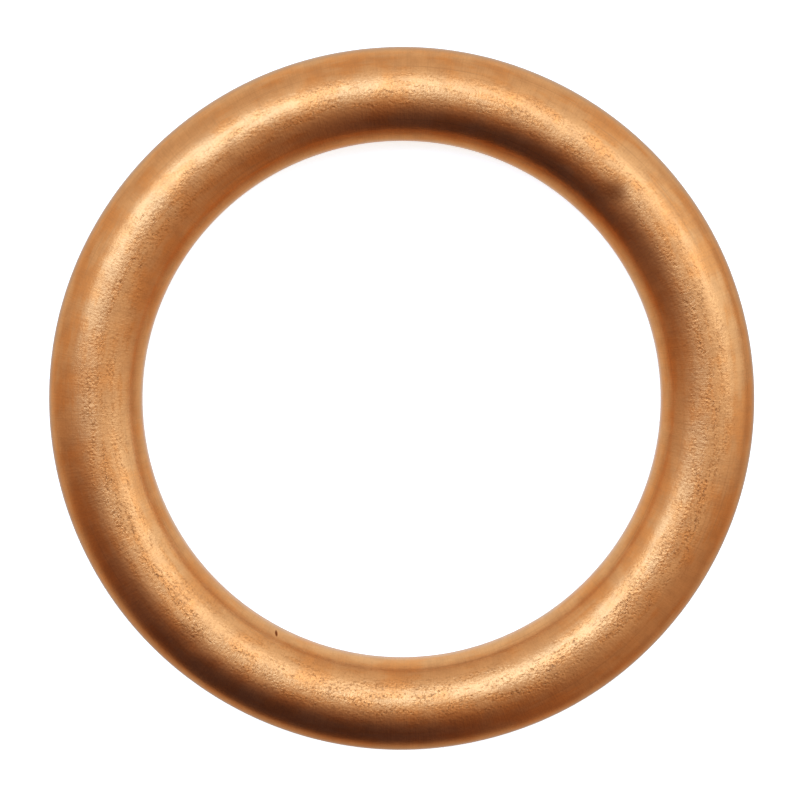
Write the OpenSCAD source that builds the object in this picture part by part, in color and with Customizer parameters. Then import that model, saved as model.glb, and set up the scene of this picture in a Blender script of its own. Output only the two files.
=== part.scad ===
// Copper exhaust gasket: a crush ring folded from one annealed copper sheet.
// The sheet is drawn into a channel with a domed crown, and its two lips are then curled
// under and lapped. The section is a hollow tube with an open lap seam on its underside.
// The ring is centred on the Z axis, and the face that seats in the port lies on z = 0.

/* [Ring] */
// Inside diameter, which slips over the stub of the pipe
inside_d = 28; // [18:0.5:60]
// Width of the folded section, from the inside wall to the outside wall
section_w = 5; // [4.5:0.1:8]
// Height of the folded section, from the seat to the crown
section_h = 4.5; // [4.4:0.1:7]
// How far the dome of the crown stands above the bends beside it
crown_rise = 0.2; // [0.1:0.02:0.4]

/* [Sheet] */
// Thickness of the copper sheet
sheet_t = 0.5; // [0.3:0.05:0.6]
// Outside radius of the bends from the walls to the crown and to the seat
bend_r = 2; // [1.6:0.05:2.1]

/* [Lap seam] */
// How far the two lips lap over each other
lap_w = 1.2; // [0.8:0.1:1.4]
// Gap left between the two lips
lap_gap = 0.05; // [0.02:0.01:0.1]

/* [Hidden] */
// Least straight stretch that the bends leave on a wall
min_flat = 0.1;
// A bend is no larger than its wall and its crown allow, and the dome stays wider than high
bend = min(bend_r, (section_h - crown_rise - min_flat) / 2, section_w / 2 - crown_rise - min_flat);

inside_r = inside_d / 2;
outside_r = inside_r + section_w;
middle_r = inside_r + section_w / 2;

// Centres of the bends: the crown's are as high as its dome allows, the seat's rest on it
inner_bend_r = inside_r + bend;
outer_bend_r = outside_r - bend;
wall_top = section_h - crown_rise - bend;
wall_bottom = bend;

// The dome is the arc that runs smoothly into the bends on both sides
half_span = section_w / 2 - bend;
dome_r = bend + (half_span * half_span + crown_rise * crown_rise) / (2 * crown_rise);
dome_centre = [middle_r, section_h - dome_r];

// The inner lip lies on the outer lip, so its bend is tighter by that step
lip_step = sheet_t + lap_gap;
inner_foot_bend = bend - lip_step;

// Steps of the full turn and of the small bends
ring_steps = 180;
bend_steps = 96;

// A full turn of sheet round a centre
module sheet_circle(radius) {
    difference() {
        circle(r = radius, $fn = bend_steps);
        circle(r = radius - sheet_t, $fn = bend_steps);
    }
}

// A quarter turn of sheet round a centre, on the side that the two signs give
module quarter_bend(centre, radius, side, up) {
    corner = [side > 0 ? 0 : -radius, up > 0 ? 0 : -radius];
    translate(centre)
        intersection() {
            sheet_circle(radius);
            translate(corner) square(radius);
        }
}

// The sector of the dome, whose sides run through the centres of the two bends beside it
module dome_sector() {
    rise = wall_top - dome_centre[1];
    reach = ceil(2 * dome_r / rise);
    polygon([
        dome_centre,
        dome_centre + reach * [half_span, rise],
        dome_centre + reach * [-half_span, rise]
    ]);
}

// A level stretch of sheet between two radii, with its lower face at a height
module level_sheet(from_r, to_r, height) {
    translate([from_r, height]) square([to_r - from_r, sheet_t]);
}

// A straight stretch of wall, with its inner face at a radius
module wall_sheet(radius) {
    translate([radius, wall_bottom]) square([sheet_t, wall_top - wall_bottom]);
}

// The domed crown and the shoulders that turn it down into the two walls
module crown_section() {
    intersection() {
        translate(dome_centre) sheet_circle(dome_r);
        dome_sector();
    }
    difference() {
        union() {
            quarter_bend([inner_bend_r, wall_top], bend, -1, 1);
            quarter_bend([outer_bend_r, wall_top], bend, 1, 1);
        }
        dome_sector();
    }
}

// The outside wall, curled under into the outer lip, which is the seat of the ring
module outer_lip_section() {
    wall_sheet(outside_r - sheet_t);
    quarter_bend([outer_bend_r, wall_bottom], bend, 1, -1);
    level_sheet(middle_r - lap_w / 2, outer_bend_r, 0);
}

// The inside wall, curled under into the inner lip, which the outer lip covers
module inner_lip_section() {
    wall_sheet(inside_r);
    quarter_bend([inside_r + inner_foot_bend, wall_bottom], inner_foot_bend, -1, -1);
    level_sheet(inside_r + inner_foot_bend, middle_r + lap_w / 2, lip_step);
}

// One sheet: both lips hang from the crown, and the seam between them stays open
module crush_ring() {
    color("#c88a5a")
        rotate_extrude($fn = ring_steps) {
            crown_section();
            outer_lip_section();
            inner_lip_section();
        }
}

crush_ring();
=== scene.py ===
import math

import bmesh
import bpy
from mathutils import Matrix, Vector, noise


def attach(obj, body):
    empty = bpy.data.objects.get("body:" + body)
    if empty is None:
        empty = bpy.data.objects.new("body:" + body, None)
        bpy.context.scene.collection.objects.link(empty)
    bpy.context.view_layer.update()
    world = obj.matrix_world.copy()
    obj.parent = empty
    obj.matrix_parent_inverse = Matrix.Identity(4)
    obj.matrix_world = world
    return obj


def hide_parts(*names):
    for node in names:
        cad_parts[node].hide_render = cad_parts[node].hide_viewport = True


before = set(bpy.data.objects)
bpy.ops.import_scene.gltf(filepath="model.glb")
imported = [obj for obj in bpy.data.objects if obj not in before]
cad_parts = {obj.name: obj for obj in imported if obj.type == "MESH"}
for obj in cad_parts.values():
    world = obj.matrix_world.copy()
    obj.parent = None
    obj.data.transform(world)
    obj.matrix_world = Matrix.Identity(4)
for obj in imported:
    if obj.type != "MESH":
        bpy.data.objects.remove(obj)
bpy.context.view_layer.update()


# The crush ring is one annealed copper sheet, drawn into a channel with a domed crown. Its two
# edges are then curled under and lapped, so its section is a hollow tube with a seam on the
# underside. Nothing fixes it: it lies in the port until the collar of the pipe crushes it.

MM = 0.001

INSIDE_RADIUS = 14 * MM
SECTION_WIDTH = 5 * MM
SECTION_HEIGHT = 4.5 * MM
CROWN_RISE = 0.2 * MM
SHEET = 0.5 * MM
BEND_RADIUS = 2 * MM
LAP_WIDTH = 1.2 * MM
LAP_GAP = 0.05 * MM
SHEARED_EDGE = 0.08 * MM

outside_radius = INSIDE_RADIUS + SECTION_WIDTH
middle_radius = INSIDE_RADIUS + SECTION_WIDTH / 2
half_lap = LAP_WIDTH / 2
lip_step = SHEET + LAP_GAP
foot_bend = BEND_RADIUS - lip_step

# The dome runs smoothly into the two shoulder bends, on the line through their centres
half_span = SECTION_WIDTH / 2 - BEND_RADIUS
dome_radius = BEND_RADIUS + (half_span**2 + CROWN_RISE**2) / (2 * CROWN_RISE)
dome_centre = Vector((middle_radius, 0, SECTION_HEIGHT - dome_radius))
wall_top = SECTION_HEIGHT - CROWN_RISE - BEND_RADIUS
outer_shoulder = Vector((outside_radius - BEND_RADIUS, 0, wall_top))
inner_shoulder = Vector((INSIDE_RADIUS + BEND_RADIUS, 0, wall_top))
outer_foot = Vector((outside_radius - BEND_RADIUS, 0, BEND_RADIUS))
inner_foot = Vector((INSIDE_RADIUS + foot_bend, 0, BEND_RADIUS))
shoulder_turn = math.atan2(wall_top - dome_centre.z, half_span)
dome_turn = math.pi - 2 * shoulder_turn
quarter = math.pi / 2

# Steps in each stretch of the outline, fine where it shows and coarse in the hollow
RING_STEPS = 720
DOME_STEPS = 36
SHOULDER_STEPS = 14
OUTER_FOOT_STEPS = 14
INNER_FOOT_STEPS = 12
SEAT_STEPS = 4
INNER_LIP_STEPS = 3
EDGE_STEPS = 2
HOLLOW_DOME_STEPS = 5
HOLLOW_SHOULDER_STEPS = 4
HOLLOW_FOOT_STEPS = 5
SAME_PLACE = 0.001 * MM

section = bmesh.new()


def start_at(x, z):
    """Sets down the first vertex of the section's outline."""
    return section.verts.new((x, 0, z))


def straight(tip, x, z, steps=1):
    """Draws the outline on from its tip to a point, in even steps."""
    step = (Vector((x, 0, z)) - tip.co) / steps
    for _ in range(steps):
        tip = bmesh.ops.extrude_vert_indiv(section, verts=[tip])["verts"][0]
        bmesh.ops.translate(section, verts=[tip], vec=step)
    return tip


def bend(tip, centre, turn, steps):
    """Swings the tip about a centre. A positive turn keeps the metal's outside on the right."""
    swept = bmesh.ops.spin(
        section, geom=[tip], cent=centre, axis=(0, -1, 0), angle=turn, steps=steps,
        use_merge=False, use_duplicate=False,
    )
    return next(part for part in swept["geom_last"] if isinstance(part, bmesh.types.BMVert))


def sheared_corner(tip, centre_x, centre_z):
    """Rounds one corner of a lip's cut edge."""
    return bend(tip, Vector((centre_x, 0, centre_z)), quarter, EDGE_STEPS)


# The outside of the sheet, from the outer lip over the crown to the inner lip
outer_lip_end = middle_radius - half_lap
inner_lip_end = middle_radius + half_lap
tip = start_at(outer_lip_end + SHEARED_EDGE, 0)
tip = straight(tip, outer_foot.x, 0, SEAT_STEPS)
tip = bend(tip, outer_foot, quarter, OUTER_FOOT_STEPS)
tip = straight(tip, outside_radius, wall_top)
tip = bend(tip, outer_shoulder, shoulder_turn, SHOULDER_STEPS)
tip = bend(tip, dome_centre, dome_turn, DOME_STEPS)
tip = bend(tip, inner_shoulder, shoulder_turn, SHOULDER_STEPS)
tip = straight(tip, INSIDE_RADIUS, BEND_RADIUS)
tip = bend(tip, inner_foot, quarter, INNER_FOOT_STEPS)
tip = straight(tip, inner_lip_end - SHEARED_EDGE, lip_step, INNER_LIP_STEPS)

# The cut edge of the inner lip, then the inside of the sheet, back to the outer lip
tip = sheared_corner(tip, inner_lip_end - SHEARED_EDGE, lip_step + SHEARED_EDGE)
tip = straight(tip, inner_lip_end, lip_step + SHEET - SHEARED_EDGE)
tip = sheared_corner(tip, inner_lip_end - SHEARED_EDGE, lip_step + SHEET - SHEARED_EDGE)
tip = straight(tip, inner_foot.x, lip_step + SHEET)
tip = bend(tip, inner_foot, -quarter, HOLLOW_FOOT_STEPS)
tip = straight(tip, INSIDE_RADIUS + SHEET, wall_top)
tip = bend(tip, inner_shoulder, -shoulder_turn, HOLLOW_SHOULDER_STEPS)
tip = bend(tip, dome_centre, -dome_turn, HOLLOW_DOME_STEPS)
tip = bend(tip, outer_shoulder, -shoulder_turn, HOLLOW_SHOULDER_STEPS)
tip = straight(tip, outside_radius - SHEET, BEND_RADIUS)
tip = bend(tip, outer_foot, -quarter, HOLLOW_FOOT_STEPS)
tip = straight(tip, outer_lip_end + SHEARED_EDGE, SHEET)
tip = sheared_corner(tip, outer_lip_end + SHEARED_EDGE, SHEET - SHEARED_EDGE)
tip = straight(tip, outer_lip_end, SHEARED_EDGE)
tip = sheared_corner(tip, outer_lip_end + SHEARED_EDGE, SHEARED_EDGE)
bmesh.ops.remove_doubles(section, verts=section.verts, dist=SAME_PLACE)

# A quarter of the ring is spun from the outline, and mirrored into a half and then into the whole
bmesh.ops.spin(
    section, geom=section.verts[:] + section.edges[:], cent=(0, 0, 0), axis=(0, 0, 1),
    angle=quarter, steps=RING_STEPS // 4, use_merge=False, use_duplicate=False,
)
for axis in ("X", "Y"):
    whole = section.verts[:] + section.edges[:] + section.faces[:]
    bmesh.ops.mirror(section, geom=whole, axis=axis, merge_dist=SAME_PLACE)
bmesh.ops.remove_doubles(section, verts=section.verts, dist=SAME_PLACE)
bmesh.ops.recalc_face_normals(section, faces=section.faces)
for face in section.faces:
    face.smooth = True

# Hand-pressed sheet is never quite true: slow waves run through it, deepest on the crown, and a few
# knocks have left shallow dents. Both skins move together, and the seat stays flat.
WAVE_SEED = 7
WAVES = (
    # length and height
    (9 * MM, 0.03 * MM),
    (4 * MM, 0.005 * MM),
)
DENTS = (
    # angle in degrees, radius, reach and depth
    (45, 15.6 * MM, 0.9 * MM, 0.045 * MM),
    (54, 15.9 * MM, 1.0 * MM, 0.03 * MM),
    (60, 17.9 * MM, 1.3 * MM, 0.05 * MM),
    (229, 16.9 * MM, 0.8 * MM, 0.05 * MM),
    (234, 17.8 * MM, 0.8 * MM, 0.03 * MM),
    (318, 16.0 * MM, 1.0 * MM, 0.02 * MM),
)
TRUE_BELOW = 1 * MM
FREE_ABOVE = 3 * MM


def wave(place):
    """Gives how far the waves carry one point of the sheet."""
    move = Vector()
    for length, height in WAVES:
        move += height * noise.noise_vector(place / length)
    return move


noise.seed_set(WAVE_SEED)
for vertex in section.verts:
    place = vertex.co.copy()
    freedom = min(1, max(0, place.z - TRUE_BELOW) / (FREE_ABOVE - TRUE_BELOW))
    vertex.co += freedom * wave(place)
    for angle, radius, reach, depth in DENTS:
        turn = math.radians(angle)
        hit = Vector((radius * math.cos(turn), radius * math.sin(turn), SECTION_HEIGHT))
        vertex.co.z -= freedom * depth * math.exp(-((place - hit).length / reach) ** 2)

ring_mesh = bpy.data.meshes.new("crush_ring_sheet")
section.to_mesh(ring_mesh)
section.free()
ring = bpy.data.objects.new("crush_ring_sheet", ring_mesh)
bpy.context.collection.objects.link(ring)


tree = None


def start_nodes(owner):
    """Empties the node tree of a material or world, and makes it the one that is being built."""
    global tree
    owner.use_nodes = True
    tree = owner.node_tree
    tree.nodes.clear()


def node(kind, inputs=None, **settings):
    """Adds a shader node: a plain value is set on its socket, and another node's socket is linked."""
    made = tree.nodes.new(kind)
    for name, value in settings.items():
        setattr(made, name, value)
    for name, value in (inputs or {}).items():
        if isinstance(value, bpy.types.NodeSocket):
            tree.links.new(value, made.inputs[name])
        else:
            made.inputs[name].default_value = value
    return made


def sums(operation, first, second=0.0, third=0.0):
    """Works one sum, such as MULTIPLY or MULTIPLY_ADD, and gives its result."""
    return node("ShaderNodeMath", {0: first, 1: second, 2: third}, operation=operation).outputs["Value"]


def rest_of(share):
    """Gives what a share leaves of one."""
    return sums("SUBTRACT", 1.0, share)


def vectors(operation, first, second=(0, 0, 0), third=(0, 0, 0)):
    """Works one sum on vectors and gives its result as a vector."""
    inputs = {0: first, 1: second, 2: third}
    return node("ShaderNodeVectorMath", inputs, operation=operation).outputs["Vector"]


def measure(operation, first, second=(0, 0, 0)):
    """Measures vectors by LENGTH, DISTANCE or DOT_PRODUCT and gives a plain value."""
    inputs = {0: first, 1: second}
    return node("ShaderNodeVectorMath", inputs, operation=operation).outputs["Value"]


def ramp(source, low, high, at_low=0.0, at_high=1.0):
    """Turns a value between two limits smoothly into another pair of limits."""
    inputs = {"Value": source, "From Min": low, "From Max": high, "To Min": at_low, "To Max": at_high}
    return node("ShaderNodeMapRange", inputs, interpolation_type="SMOOTHSTEP").outputs["Result"]


def blend(factor, first, second):
    """Mixes two colours, which a mix node takes on its inputs 6 and 7 and gives on its output 2."""
    return node("ShaderNodeMix", {"Factor": factor, 6: first, 7: second}, data_type="RGBA").outputs[2]


def speckle(place, size, detail=2.0):
    """Gives soft random spots of about one size, from 0 to 1 and mostly near 0.5."""
    inputs = {"Vector": place, "Scale": 1 / size, "Detail": detail}
    return node("ShaderNodeTexNoise", inputs).outputs["Fac"]


def from_horizon(azimuth, elevation):
    """Gives the direction at an azimuth from +X and a height above the horizon, in degrees."""
    azimuth, elevation = math.radians(azimuth), math.radians(elevation)
    level = math.cos(elevation)
    return Vector((level * math.cos(azimuth), level * math.sin(azimuth), math.sin(elevation)))


# The copper is bare and soft. The press left a rough band of fine grain and pits on the crown, in
# streaks that run round the ring, and the dies drew fine lines across the section and along it.
# The names that end in RAMP hold what ramp() is given: two limits, and what it gives at each.

copper = bpy.data.materials.new("annealed_copper")
start_nodes(copper)
place = node("ShaderNodeTexCoord").outputs["Object"]
split = node("ShaderNodeSeparateXYZ", {"Vector": place}).outputs
height = split["Z"]
level = vectors("MULTIPLY", place, (1, 1, 0))
distance_out = measure("LENGTH", level)
around = vectors("MULTIPLY", vectors("NORMALIZE", level), (middle_radius,) * 3)


def streaks(width, length):
    """Gives random streaks that run round the ring, from 0 to 1 and mostly near 0.5."""
    drift = width / length
    section_place = {"X": distance_out, "Y": height, "Z": sums("MULTIPLY", split["X"], drift)}
    section_place = node("ShaderNodeCombineXYZ", section_place).outputs["Vector"]
    inputs = {
        "Vector": section_place, "W": sums("MULTIPLY", split["Y"], drift),
        "Scale": 1 / width, "Detail": 2.0,
    }
    return node("ShaderNodeTexNoise", inputs, noise_dimensions="4D").outputs["Fac"]


# The band that the press roughened is a little off the ring's middle. Streaks fray its edges, and
# it is rougher on the near side.
PRESS_CENTRE = (0.30 * MM, 0.35 * MM, 0)
PRESS_RADIUS = 16.25 * MM
STREAK_WIDTH = 0.32 * MM
STREAK_LENGTH = 1.8 * MM
FRAYED = 0.8 * MM
BAND_EDGE_RAMP = (-0.2 * MM, 1.1 * MM, 1.0, 0.0)
CROWN_RAMP = (3.2 * MM, 3.9 * MM)
BITE_RAMP = (-outside_radius, outside_radius, 1.2, 0.75)
WORN_RAMP = (0.36, 0.64, 0.25, 1.2)

worn = streaks(STREAK_WIDTH, STREAK_LENGTH)
off_press = sums("SUBTRACT", measure("DISTANCE", level, PRESS_CENTRE), PRESS_RADIUS)
off_press = sums("MULTIPLY_ADD", worn, -FRAYED, sums("ABSOLUTE", off_press))
crown = sums("MULTIPLY", ramp(off_press, *BAND_EDGE_RAMP), ramp(height, *CROWN_RAMP))
bite = sums("MULTIPLY", ramp(split["Y"], *BITE_RAMP), ramp(worn, *WORN_RAMP))
rough_patch = sums("MULTIPLY", crown, bite)

# Round one spot by the dent at 45 degrees, the grain fades out and the copper is coloured dark brown
DARK_SPOT_BROWN = (0.28, 0.108, 0.038, 1)
DARK_SPOT_ANGLE = 45
DARK_SPOT_RADIUS = 16.0 * MM
DARK_SPOT_RAMP = (0.1 * MM, 1.0 * MM, 0.8, 0.0)

dark_spot_place = DARK_SPOT_RADIUS * from_horizon(DARK_SPOT_ANGLE, 0) + Vector((0, 0, SECTION_HEIGHT))
dark_spot = ramp(measure("DISTANCE", place, dark_spot_place), *DARK_SPOT_RAMP)
rough_patch = sums("MULTIPLY", rough_patch, rest_of(dark_spot))

# What stands up or lies in: grain, the softer peel under it, die lines across the section, and pits.
# The lines change quickly with the angle, and hardly along their own length.
GRAIN_SIZE = 0.15 * MM
GRAIN_DEPTH = 0.0135 * MM
GRAIN_OFF_BAND = 0.45
PEEL_SIZE = 0.25 * MM
PEEL_DEPTH = 0.009 * MM
LINE_SPACING = 0.07 * MM
LINE_DEPTH = 0.0035 * MM
LINE_FADE = 0.06
PIT_WIDTH = 0.09 * MM
PIT_LENGTH = 0.2 * MM
PIT_DEPTH = 0.005 * MM
PIT_RAMP = (0.58, 0.68)

grain = sums("SUBTRACT", speckle(place, GRAIN_SIZE), 0.5)
peel = sums("SUBTRACT", speckle(place, PEEL_SIZE), 0.5)
lines = speckle(vectors("MULTIPLY_ADD", place, (LINE_FADE,) * 3, around), LINE_SPACING)
pit = sums("MULTIPLY", ramp(streaks(PIT_WIDTH, PIT_LENGTH), *PIT_RAMP), rough_patch)
rise = sums("MULTIPLY", sums("MULTIPLY", grain, rough_patch), GRAIN_DEPTH)
rise = sums("MULTIPLY_ADD", sums("MULTIPLY", peel, rough_patch), PEEL_DEPTH, rise)
rise = sums("MULTIPLY_ADD", grain, GRAIN_OFF_BAND * GRAIN_DEPTH, rise)
rise = sums("MULTIPLY_ADD", lines, LINE_DEPTH, rise)
rise = sums("MULTIPLY_ADD", pit, -PIT_DEPTH, rise)
bump = node("ShaderNodeBump", {"Height": rise, "Distance": 1.0}).outputs["Normal"]

# The copper runs from pink to orange in broad clouds. Tarnish lies in the lines, in smudges, and in
# long die marks beside the band. Further down, the same brown is also painted as shade on the outer wall.
COPPER = (0.67, 0.312, 0.115, 1)
ORANGE_COPPER = (0.66, 0.262, 0.078, 1)
TARNISH_AND_RIM_SHADE = (0.42, 0.19, 0.075, 1)
CLOUD_SIZE = 2.2 * MM
CLOUD_DETAIL = 3.0
CLOUD_STREAKS = 0.6
CLOUD_RAMP = (0.70, 0.95)
LINE_TARNISH_RAMP = (0.42, 0.70, 0.0, 0.2)
SMUDGE_SIZE = 0.8 * MM
SMUDGE_RAMP = (0.40, 0.66, 0.0, 0.25)
DIE_MARK_WIDTH = 0.1 * MM
DIE_MARK_LENGTH = 9 * MM
DIE_MARK_RAMP = (0.55, 0.70, 0.0, 0.4)

cloud = sums("MULTIPLY_ADD", worn, CLOUD_STREAKS, speckle(place, CLOUD_SIZE, CLOUD_DETAIL))
smudge = ramp(speckle(place, SMUDGE_SIZE, CLOUD_DETAIL), *SMUDGE_RAMP)
die_mark = ramp(streaks(DIE_MARK_WIDTH, DIE_MARK_LENGTH), *DIE_MARK_RAMP)
die_mark = sums("MULTIPLY", die_mark, rest_of(crown))
colour = blend(ramp(cloud, *CLOUD_RAMP), COPPER, ORANGE_COPPER)
for tarnished in (ramp(lines, *LINE_TARNISH_RAMP), smudge, die_mark):
    colour = blend(tarnished, colour, TARNISH_AND_RIM_SHADE)

# Brown flecks are thick in the rough band and thin elsewhere, and the pits have gone dark
FLECK_BROWN = (0.34, 0.13, 0.04, 1)
FLECK_SIZE = 0.12 * MM
FLECK_RAMP = (0.49, 0.64, 0.0, 0.7)
FLECKS_IN_BAND = 0.85
FLECKS_OFF_BAND = 0.12
PIT_BROWN = (0.20, 0.075, 0.03, 1)
PIT_DARKNESS = 0.45

spread = sums("MULTIPLY_ADD", rough_patch, FLECKS_IN_BAND, FLECKS_OFF_BAND)
fleck = sums("MULTIPLY", ramp(speckle(place, FLECK_SIZE), *FLECK_RAMP), spread)
colour = blend(fleck, colour, FLECK_BROWN)
colour = blend(sums("MULTIPLY", pit, PIT_DARKNESS), colour, PIT_BROWN)

# Painted shade darkens the upper part of the outer wall, which forms the rim seen from above, and the dark
# brown spot lies over everything but the nick
RIM_SHADE_RAMP = (18.65 * MM, 18.9 * MM, 0.0, 0.7)
RIM_SHADE_HEIGHT_RAMP = (0.8 * MM, 2.2 * MM)

rim_shade = sums("MULTIPLY", ramp(distance_out, *RIM_SHADE_RAMP), ramp(height, *RIM_SHADE_HEIGHT_RAMP))
colour = blend(rim_shade, colour, TARNISH_AND_RIM_SHADE)
colour = blend(dark_spot, colour, DARK_SPOT_BROWN)

# One knock has left a dark nick, slanting across the inner shoulder
NICK_BROWN = (0.17, 0.035, 0.006, 1)
NICK_PLACE = (-6.765 * MM, -12.47 * MM, 0)
NICK_SLANT = -71
NICK_LENGTH = 0.28 * MM
NICK_WIDTH = 0.12 * MM
NICK_RAMP = (0.3, 0.65, 1.0, 0.0)

off_nick = vectors("SUBTRACT", level, NICK_PLACE)
nick_along = measure("DOT_PRODUCT", off_nick, from_horizon(NICK_SLANT, 0) / NICK_LENGTH)
nick_across = measure("DOT_PRODUCT", off_nick, from_horizon(NICK_SLANT + 90, 0) / NICK_WIDTH)
off_nick = node("ShaderNodeCombineXYZ", {"X": nick_along, "Y": nick_across}).outputs["Vector"]
nick = ramp(measure("LENGTH", off_nick), *NICK_RAMP)
nick = sums("MULTIPLY", nick, sums("GREATER_THAN", height, wall_top))
colour = blend(nick, colour, NICK_BROWN)

EDGE_SHEEN = (0.80, 0.74, 0.66, 1)
ROUGHNESS = 0.305
ROUGHNESS_IN_GRAIN = 0.08

roughness = sums("MULTIPLY_ADD", grain, ROUGHNESS_IN_GRAIN, ROUGHNESS)
shader = node("ShaderNodeBsdfPrincipled", {
    "Base Color": colour, "Metallic": 1.0, "Roughness": roughness, "Normal": bump,
    "Specular Tint": EDGE_SHEEN,
})
node("ShaderNodeOutputMaterial", {"Surface": shader.outputs[0]})
ring.data.materials.append(copper)

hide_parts("crush_ring")
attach(ring, "root")


# The table is a sheet of matt white card, and the ring lies loose on it. The card glows a little
# towards the camera only, so that it comes out white and still keeps the ring's soft shadow.

TABLE_HALF_WIDTH = 0.6
CARD_WHITE = (0.77, 0.91, 0.96, 1)
CARD_GLOW = 0.66

table_mesh = bpy.data.meshes.new("white_table")
table_build = bmesh.new()
bmesh.ops.create_grid(table_build, x_segments=1, y_segments=1, size=TABLE_HALF_WIDTH)
table_build.to_mesh(table_mesh)
table_build.free()
table = bpy.data.objects.new("white_table", table_mesh)
bpy.context.collection.objects.link(table)

card = bpy.data.materials.new("white_card")
start_nodes(card)
matt = node("ShaderNodeBsdfDiffuse", {"Color": CARD_WHITE}).outputs[0]
seen = node("ShaderNodeLightPath").outputs["Is Camera Ray"]
glow = node("ShaderNodeEmission", {"Strength": sums("MULTIPLY", seen, CARD_GLOW)}).outputs[0]
surface = node("ShaderNodeAddShader", {0: matt, 1: glow}).outputs[0]
node("ShaderNodeOutputMaterial", {"Surface": surface})
table.data.materials.append(card)
table.visible_glossy = False


# The studio is a white tent with two long softboxes hung over the far side of the ring. Its near
# side is open to a dark room, and the metal mirrors that opening, with dimmer cloth beside it. The
# metal also mirrors the tent's own floor, which is bright on the far side and shaded on the near.

TENT_MIDDLE = 1.30
TENT_SLOPE = (0.14, -0.43, 0.07)
ROOF_PATCHES = (
    # azimuth and elevation in degrees, spread, and how much brighter or dimmer the cloth is there
    (308, 62, 0.51, 0.35),
    (42, 63, 0.61, -0.20),
)
DIM_SIDE = from_horizon(265, -1)
DIM_RAMP = (1.10, 1.70, 0.36, 1.0)
FLOOR_MIDDLE = 0.63
FLOOR_SLOPE = (-0.03, 0.28, -0.56)
DARK_ROOM = 0.068
OPENING_AZIMUTH = 251
OPENING_ELEVATION = 18.5
OPENING_SPREAD = Vector((0.9, 1.07, 1.80))
OPENING_RAMP = (0.27, 1.0, 1.0, 0.0)
OPENING_FOOT_RAMP = (-0.33, -0.03)
GREEN_FALL = 1.62
BLUE_FALL = 2.24
GREEN_LEFT = 0.03
BLUE_LEFT = 0.06


def between(factor, first, second):
    """Mixes two plain values, which a mix node takes on its inputs 2 and 3."""
    return node("ShaderNodeMix", {"Factor": factor, 2: first, 3: second}).outputs[0]


def light_colour(level):
    """Gives the colour of a level of light in the room: the dimmer it is, the browner."""
    parts = {
        "Red": level,
        "Green": sums("ADD", sums("POWER", level, GREEN_FALL), GREEN_LEFT),
        "Blue": sums("ADD", sums("POWER", level, BLUE_FALL), BLUE_LEFT),
    }
    return node("ShaderNodeCombineColor", parts).outputs["Color"]


world = bpy.data.worlds.new("white_tent")
bpy.context.scene.world = world
start_nodes(world)
direction = node("ShaderNodeTexCoord").outputs["Generated"]
up = node("ShaderNodeSeparateXYZ", {"Vector": direction}).outputs["Z"]

# The cloth, and the tent's floor below the horizon
cloth = sums("ADD", measure("DOT_PRODUCT", direction, TENT_SLOPE), TENT_MIDDLE)
for azimuth, elevation, size, change in ROOF_PATCHES:
    from_patch = measure("DISTANCE", direction, from_horizon(azimuth, elevation))
    cloth = sums("MULTIPLY", cloth, ramp(from_patch, 0.0, size, 1 + change, 1.0))
cloth = sums("MULTIPLY", cloth, ramp(measure("DISTANCE", direction, DIM_SIDE), *DIM_RAMP))
tent_floor = sums("ADD", measure("DOT_PRODUCT", direction, FLOOR_SLOPE), FLOOR_MIDDLE)
tent = between(sums("GREATER_THAN", up, 0.0), tent_floor, cloth)

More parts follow.
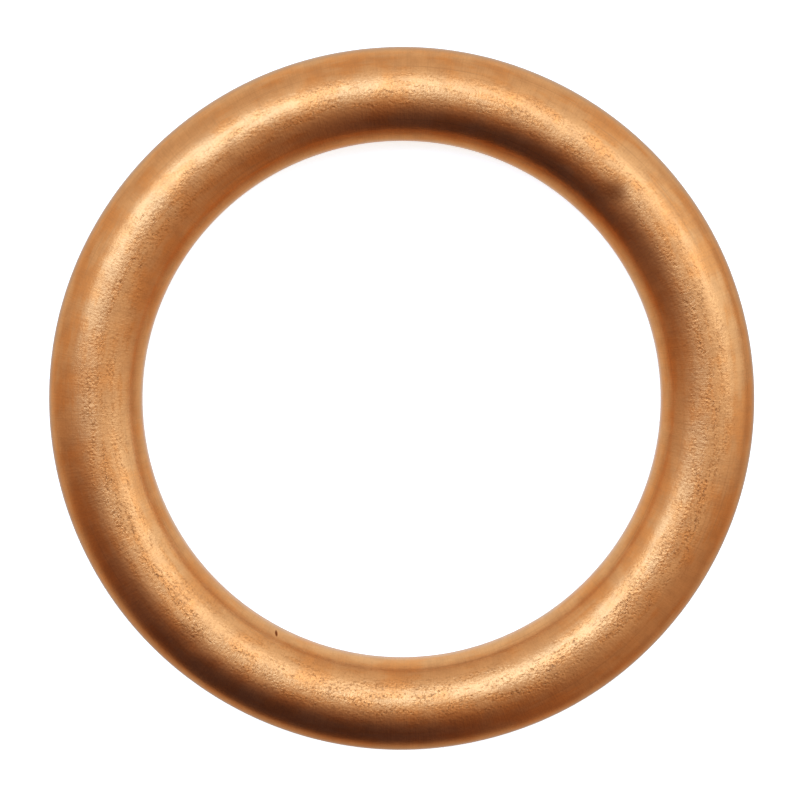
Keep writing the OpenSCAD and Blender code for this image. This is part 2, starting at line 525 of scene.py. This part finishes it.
# The opening fades with the distance from its middle, measured along, across and up in its own
# spreads, once it is turned to lie along X. Directions below the horizon count as level ones, so
# the dark also reaches a little way over the tent's floor.
turned = node(
    "ShaderNodeVectorRotate", {"Vector": direction, "Angle": -math.radians(OPENING_AZIMUTH)},
    rotation_type="Z_AXIS",
)
shrink = [1 / size for size in OPENING_SPREAD]
opening_middle = from_horizon(0, OPENING_ELEVATION) * Vector(shrink)
level_or_up = vectors("MAXIMUM", turned.outputs[0], (-1, -1, 0))
from_opening = measure("DISTANCE", vectors("MULTIPLY", level_or_up, shrink), opening_middle)
opening = sums("MULTIPLY", ramp(from_opening, *OPENING_RAMP), ramp(up, *OPENING_FOOT_RAMP))
room_level = between(opening, tent, DARK_ROOM)

lit = node("ShaderNodeBackground", {"Color": light_colour(room_level)}).outputs[0]
shown = node("ShaderNodeBackground", {"Color": (1, 1, 1, 1)}).outputs[0]
seen = node("ShaderNodeLightPath").outputs["Is Camera Ray"]
sky = node("ShaderNodeMixShader", {0: seen, 1: lit, 2: shown}).outputs[0]
node("ShaderNodeOutputWorld", {"Surface": sky})

LAMP_HEIGHT = 0.5


def softbox(name, over, turn, length, width, brightness):
    """Hangs a level softbox over a point, turned by an angle. Its brightness is 1, 1, 1 for plain white."""
    data = bpy.data.lights.new(name, "AREA")
    data.shape = "RECTANGLE"
    data.size = length
    data.size_y = width
    data.color = [part / brightness[0] for part in brightness]
    data.energy = brightness[0] * math.pi * length * width
    lamp = bpy.data.objects.new(name, data)
    lamp.location = (over[0], over[1], LAMP_HEIGHT)
    lamp.rotation_euler.z = math.radians(turn)
    bpy.context.collection.objects.link(lamp)


softbox("left_softbox", over=(-0.23, 0.19), turn=-7, length=0.51, width=0.28, brightness=(1.13, 2.15, 3.90))
softbox("right_softbox", over=(0.29, 0.22), turn=-19, length=0.69, width=0.29, brightness=(0.93, 1.36, 1.94))


# The camera hangs 130 mm over the table, a little to the far side of the ring's middle, and looks
# almost straight down on it, as in the photograph.

CAMERA_PLACE = Vector((0, 10.4, 130)) * MM
CAMERA_AIM = Vector((-0.085, 0.102, 2.25)) * MM
LENS = 106.9
FILM_WIDTH = 36
NEAREST_SEEN = 10 * MM

camera_data = bpy.data.cameras.new("camera")
camera_data.sensor_width = FILM_WIDTH
camera_data.lens = LENS
camera_data.clip_start = NEAREST_SEEN
camera = bpy.data.objects.new("camera", camera_data)
camera.location = CAMERA_PLACE
sight = CAMERA_AIM - CAMERA_PLACE
camera.rotation_euler = (math.atan2(sight.y, -sight.z), math.atan2(-sight.x, -sight.z), 0)
bpy.context.collection.objects.link(camera)
bpy.context.scene.camera = camera
bpy.context.scene.view_settings.view_transform = "Standard"
